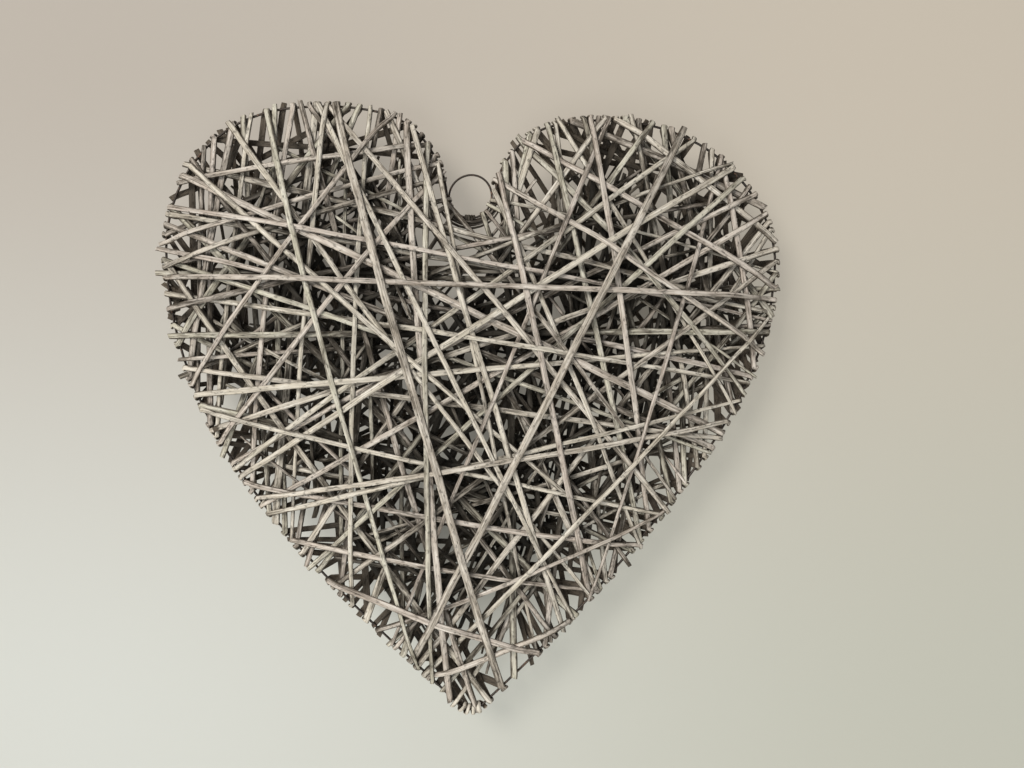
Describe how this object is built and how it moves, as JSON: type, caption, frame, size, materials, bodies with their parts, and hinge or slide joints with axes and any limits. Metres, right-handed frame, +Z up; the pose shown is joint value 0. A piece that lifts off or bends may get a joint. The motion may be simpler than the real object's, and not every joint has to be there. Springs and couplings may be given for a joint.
{
  "type": "wicker heart",
  "caption": "Heart-shaped wicker wall hanging: a wire heart wound with split canes, front and back, with a hanging ring in its notch.",
  "frame": {"origin": "inner top of the hanging ring, where a nail or hook bears", "axes": "+Z up as it hangs, +X to the right seen from the front, -Y out of the front and +Y towards the wall"},
  "size_m": [0.5909, 0.089, 0.5862],
  "materials": {
    "wire": "dark annealed steel wire, dull, with a little rust",
    "binding": "thin dark brown cane, matte",
    "cane": "dry split willow with a pale grey wash on the outside, dark brown behind, matte"
  },
  "bodies": {
    "root": {"frame_wire": "wire", "hanging_ring": "wire", "ring_tie": "binding", "cane_01": "cane", "cane_02": "cane", "cane_03": "cane", "cane_04": "cane", "cane_05": "cane", "cane_06": "cane", "cane_07": "cane", "cane_08": "cane", "cane_09": "cane", "cane_10": "cane", "cane_11": "cane", "cane_12": "cane", "cane_13": "cane", "cane_14": "cane", "cane_15": "cane", "cane_16": "cane", "cane_17": "cane", "cane_18": "cane", "cane_19": "cane", "cane_20": "cane", "cane_21": "cane", "cane_22": "cane", "cane_23": "cane", "cane_24": "cane", "cane_25": "cane", "cane_26": "cane", "cane_27": "cane", "cane_28": "cane", "cane_29": "cane", "cane_30": "cane", "cane_31": "cane", "cane_32": "cane", "cane_33": "cane", "cane_34": "cane", "cane_35": "cane", "cane_36": "cane", "cane_37": "cane", "cane_38": "cane", "cane_39": "cane", "cane_40": "cane"}
  },
  "joints": []
}
